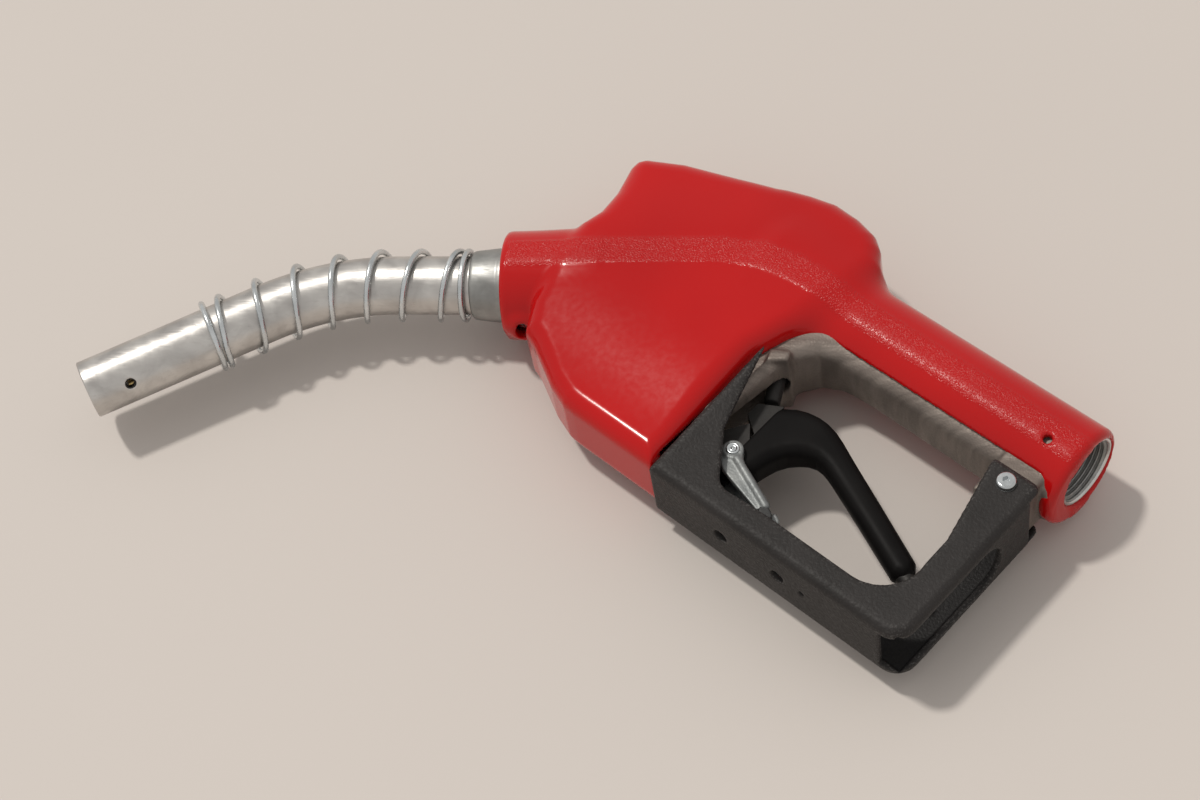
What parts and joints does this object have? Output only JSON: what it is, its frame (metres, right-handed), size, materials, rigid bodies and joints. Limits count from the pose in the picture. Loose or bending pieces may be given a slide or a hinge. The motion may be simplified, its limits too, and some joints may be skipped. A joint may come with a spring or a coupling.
{
  "type": "fuel nozzle",
  "caption": "Automatic shut-off fuel dispensing nozzle with bent spout, vinyl-covered body and grip, squeeze lever, lever guard and hold-open clip.",
  "frame": {"origin": "centre of the inlet thread's mouth, on the nozzle's mid-plane", "axes": "the nozzle lies on its side: +X runs along the outlet axis from the spout towards the handle end, +Y towards the valve caps on top of the body, +Z out of the side that faces up"},
  "size_m": [0.4108, 0.219, 0.051],
  "materials": {
    "red_vinyl": "glossy dipped vinyl, softly dented, with a stippled raised band along each side",
    "casting": "sand-cast aluminium, dull, fine grain with tool marks",
    "black_nylon": "coarse black nylon powder coat, charcoal, lightly rubbed on the edges",
    "lever_black": "satin black moulded sleeve",
    "zinc": "cast zinc, light grey, grainy",
    "bright_zinc": "bright zinc-plated steel",
    "adapter_grey": "turned aluminium, oxidised mid grey",
    "spout_aluminium": "drawn aluminium tube, satin, streaked and lightly scratched",
    "black_rubber": "matt nitrile rubber",
    "brass": "turned brass",
    "dark_metal": "dark steel",
    "bright_steel": "ground stainless steel",
    "white_ptfe": "white low-friction packing"
  },
  "bodies": {
    "nozzle_body": {"body_casting": "casting", "scuff_guard": "red_vinyl", "lever_guard": "black_nylon", "hold_open_rack": "zinc", "guard_rear_screw": "bright_zinc", "guard_rear_nut": "bright_zinc", "guard_front_pin": "bright_zinc", "spout_adapter": "adapter_grey", "adapter_oring": "black_rubber", "spout_tube": "spout_aluminium", "spout_spring": "bright_zinc", "sensing_tube": "brass", "sensing_port_insert": "dark_metal", "spout_screw": "bright_zinc", "check_valve_seat": "brass", "check_valve_spring": "bright_zinc", "poppet_cap": "casting", "poppet_cap_oring": "black_rubber", "main_spring": "bright_zinc", "stem_packing": "white_ptfe", "packing_nut": "brass", "diaphragm_cap": "casting", "diaphragm_cap_screws": "bright_zinc", "diaphragm_spring": "bright_zinc", "diaphragm": "black_rubber", "plunger_spring": "bright_zinc", "plunger_bush": "brass", "inlet_screen": "bright_steel"},
    "plunger": {"plunger": "bright_steel", "latch_rollers": "bright_steel", "lever_pin": "bright_zinc"},
    "lever": {"lever_core": "dark_metal", "lever_sleeve": "lever_black", "clip_pin": "bright_zinc"},
    "clip": {"hold_open_clip": "zinc", "clip_tip": "black_rubber"},
    "stem": {"main_stem": "bright_steel", "main_poppet": "brass", "poppet_disc": "black_rubber"},
    "check_valve": {"check_valve_poppet": "black_nylon"},
    "latch": {"latch_pin": "bright_steel"}
  },
  "joints": [
    {"name": "plunger_drop", "type": "slide", "parent": "nozzle_body", "child": "plunger", "axis": [0.1392, -0.9903, 0], "range_m": [0, 0.007], "stiffness_N_per_m": 1500, "springref_m": -0.006, "deforming": ["plunger_spring"]},
    {"name": "lever_squeeze", "type": "hinge", "parent": "plunger", "child": "lever", "pos_m": [-0.14232, 0.00458, 0], "axis": [0, 0, 1], "range_deg": [0, 18], "stiffness_Nm_per_rad": 2, "springref_deg": -17.19},
    {"name": "clip_swing", "type": "hinge", "parent": "lever", "child": "clip", "pos_m": [-0.13079, 0.00154, 0], "axis": [0, 0, 1], "range_deg": [-6, 30], "stiffness_Nm_per_rad": 0.02},
    {"name": "stem_lift", "type": "slide", "parent": "nozzle_body", "child": "stem", "axis": [0.1392, 0.9903, 0], "range_m": [0, 0.007], "deforming": ["main_spring"]},
    {"name": "check_valve_open", "type": "slide", "parent": "nozzle_body", "child": "check_valve", "axis": [-1, 0, 0], "range_m": [0, 0.005], "stiffness_N_per_m": 400, "springref_m": -0.005, "deforming": ["check_valve_spring"]},
    {"name": "latch_lift", "type": "slide", "parent": "nozzle_body", "child": "latch", "axis": [-0.1392, 0.9903, 0], "range_m": [0, 0.003], "stiffness_N_per_m": 400, "springref_m": -0.004, "deforming": ["diaphragm_spring"]}
  ],
  "couplings": [
    {"joint": "stem_lift", "follows": "lever_squeeze", "m_per_rad": 0.0219}
  ]
}
